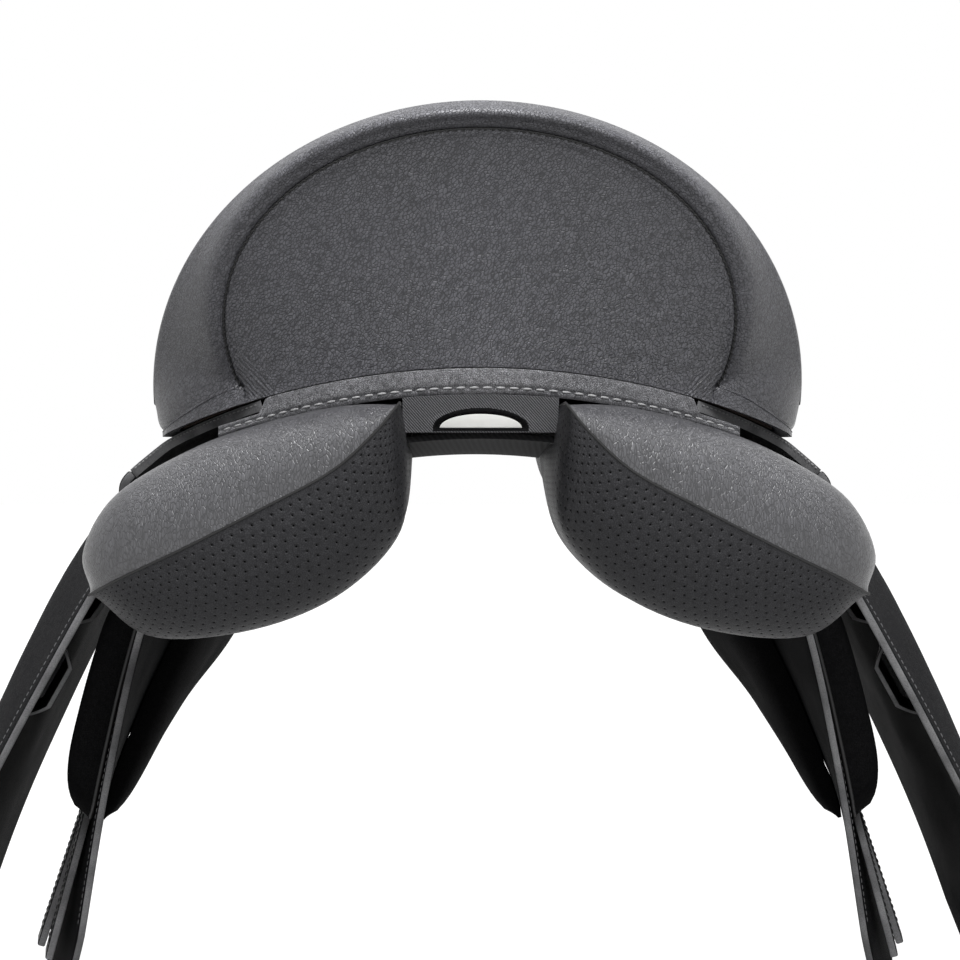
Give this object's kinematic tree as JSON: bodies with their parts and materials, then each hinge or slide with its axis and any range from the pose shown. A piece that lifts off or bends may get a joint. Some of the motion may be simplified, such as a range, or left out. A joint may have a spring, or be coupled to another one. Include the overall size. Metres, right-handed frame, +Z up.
{
  "type": "jumping saddle",
  "caption": "English jumping saddle with a padded cantle, split panels, forward flaps, knee and thigh blocks, stirrup bars and girth straps.",
  "frame": {"origin": "on the centre plane, level with the underside of the rear panels, midway along the seat, where the saddle rests", "axes": "+X to the rider's right, +Y forward to the head of the saddle, +Z up"},
  "size_m": [0.5964, 0.5035, 0.4502],
  "materials": {
    "seat_leather": "satin grained",
    "flap_leather": "satin grained",
    "panel_leather": "soft grained",
    "panel_filling": "soft grained",
    "lining_leather": "matte",
    "strap_leather": "matte",
    "beech_laminate": "raw",
    "foam": "matte",
    "jute_web": "woven",
    "stainless_steel": "polished",
    "plain_plate": "satin"
  },
  "bodies": {
    "saddle": {"seat_cover": "seat_leather", "seat_foam": "foam", "tree": "beech_laminate", "seat_webbing": "jute_web", "gullet_plate": "stainless_steel", "cantle_band": "panel_leather", "gullet_facing": "lining_leather", "badge_plate": "plain_plate", "gullet_lining": "jute_web", "panel_r": "panel_filling", "panel_l": "panel_filling", "panel_wing_r": "lining_leather", "panel_wing_l": "lining_leather", "sweat_flap_r": "flap_leather", "sweat_flap_l": "flap_leather", "flap_top_r": "flap_leather", "flap_top_l": "flap_leather", "knee_block_r": "panel_filling", "knee_block_l": "panel_filling", "thigh_block_r": "panel_filling", "thigh_block_l": "panel_filling", "stirrup_bar_r": "stainless_steel", "stirrup_bar_l": "stainless_steel", "dee_holder_r": "strap_leather", "dee_holder_l": "strap_leather", "saddle_nail_r": "stainless_steel", "saddle_nail_l": "stainless_steel"},
    "right_flap": {"flap_r": "flap_leather", "flap_loop_r": "strap_leather"},
    "left_flap": {"flap_l": "flap_leather", "flap_loop_l": "strap_leather"},
    "right_skirt": {"skirt_r": "flap_leather"},
    "left_skirt": {"skirt_l": "flap_leather"},
    "right_catch": {"bar_catch_r": "stainless_steel"},
    "left_catch": {"bar_catch_l": "stainless_steel"},
    "right_straps": {"front_girth_strap_r": "strap_leather", "rear_girth_strap_r": "strap_leather"},
    "left_straps": {"front_girth_strap_l": "strap_leather", "rear_girth_strap_l": "strap_leather"},
    "right_guard": {"buckle_guard_r": "strap_leather"},
    "left_guard": {"buckle_guard_l": "strap_leather"},
    "right_dee": {"dee_ring_r": "stainless_steel"},
    "left_dee": {"dee_ring_l": "stainless_steel"}
  },
  "joints": [
    {"name": "flap_lift_r", "type": "hinge", "parent": "saddle", "child": "right_flap", "pos_m": [0.162, 0, 0.071], "axis": [0, -1, 0], "range_deg": [0, 75]},
    {"name": "flap_lift_l", "type": "hinge", "parent": "saddle", "child": "left_flap", "pos_m": [-0.162, 0, 0.071], "axis": [0, 1, 0], "range_deg": [0, 75]},
    {"name": "skirt_lift_r", "type": "hinge", "parent": "saddle", "child": "right_skirt", "pos_m": [0.09894, 0.024, 0.1024], "axis": [0.2498, -0.9436, -0.2175], "range_deg": [0, 35]},
    {"name": "skirt_lift_l", "type": "hinge", "parent": "saddle", "child": "left_skirt", "pos_m": [-0.09894, 0.024, 0.1024], "axis": [0.2498, 0.9436, 0.2175], "range_deg": [0, 35]},
    {"name": "catch_turn_r", "type": "hinge", "parent": "saddle", "child": "right_catch", "pos_m": [0.11171, 0.0709, 0.11771], "axis": [-0.8775, -0.3029, 0.3719], "range_deg": [0, 45]},
    {"name": "catch_turn_l", "type": "hinge", "parent": "saddle", "child": "left_catch", "pos_m": [-0.11171, 0.0709, 0.11771], "axis": [-0.8775, 0.3029, -0.3719], "range_deg": [0, 45]},
    {"name": "strap_lift_r", "type": "hinge", "parent": "saddle", "child": "right_straps", "pos_m": [0.12932, 0.09411, 0.07881], "axis": [0, -1, 0], "range_deg": [0, 9]},
    {"name": "strap_lift_l", "type": "hinge", "parent": "saddle", "child": "left_straps", "pos_m": [-0.12932, 0.09411, 0.07881], "axis": [0, 1, 0], "range_deg": [0, 9]},
    {"name": "guard_slide_r", "type": "slide", "parent": "right_straps", "child": "right_guard", "axis": [-0.3086, 0.0499, 0.9499], "range_m": [0, 0.03]},
    {"name": "guard_slide_l", "type": "slide", "parent": "left_straps", "child": "left_guard", "axis": [0.3086, 0.0499, 0.9499], "range_m": [0, 0.03]},
    {"name": "dee_turn_r", "type": "hinge", "parent": "saddle", "child": "right_dee", "pos_m": [0.08175, 0.205, 0.12877], "axis": [0, -1, 0], "range_deg": [0, 90]},
    {"name": "dee_turn_l", "type": "hinge", "parent": "saddle", "child": "left_dee", "pos_m": [-0.08175, 0.205, 0.12877], "axis": [0, 1, 0], "range_deg": [0, 90]}
  ]
}
